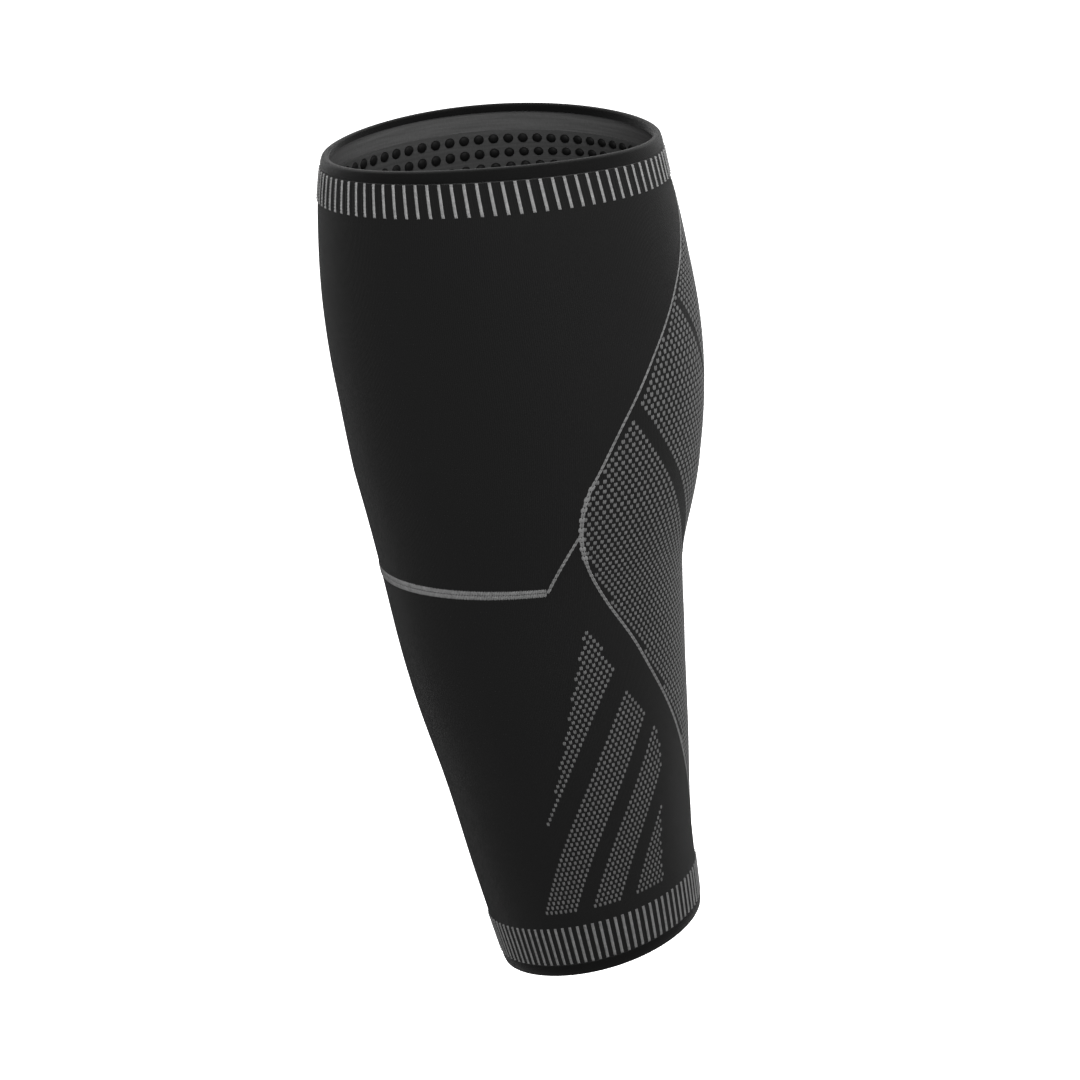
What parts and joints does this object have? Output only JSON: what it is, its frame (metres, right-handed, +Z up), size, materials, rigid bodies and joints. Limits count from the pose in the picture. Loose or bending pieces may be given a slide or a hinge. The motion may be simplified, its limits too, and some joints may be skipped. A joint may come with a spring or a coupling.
{
  "type": "calf compression sleeve",
  "caption": "Seamless knitted sleeve for the lower leg, wide at the calf and narrow at the ankle, with ribbed cuffs, folded elastic edges and silicone grip dots inside the top.",
  "frame": {"origin": "on the leg's axis, half way up the sleeve, at the mount leg_seat", "axes": "+Z up the leg, from ankle to knee; -Y to the shin and +Y to the calf; the sleeve is symmetric about X = 0"},
  "size_m": [0.1142, 0.1222, 0.2893],
  "materials": {
    "knit": "matt fine jersey knit, with grey knitted-in lines and dots",
    "rib_knit": "matt black and light grey vertical ribs",
    "edge_tape": "matt folded elastic tape",
    "silicone": "satin silicone dots on elastic tape"
  },
  "bodies": {
    "root": {"sleeve_body": "knit", "top_cuff": "rib_knit", "bottom_cuff": "rib_knit", "top_binding": "edge_tape", "bottom_binding": "edge_tape", "grip_band": "silicone"}
  },
  "joints": []
}
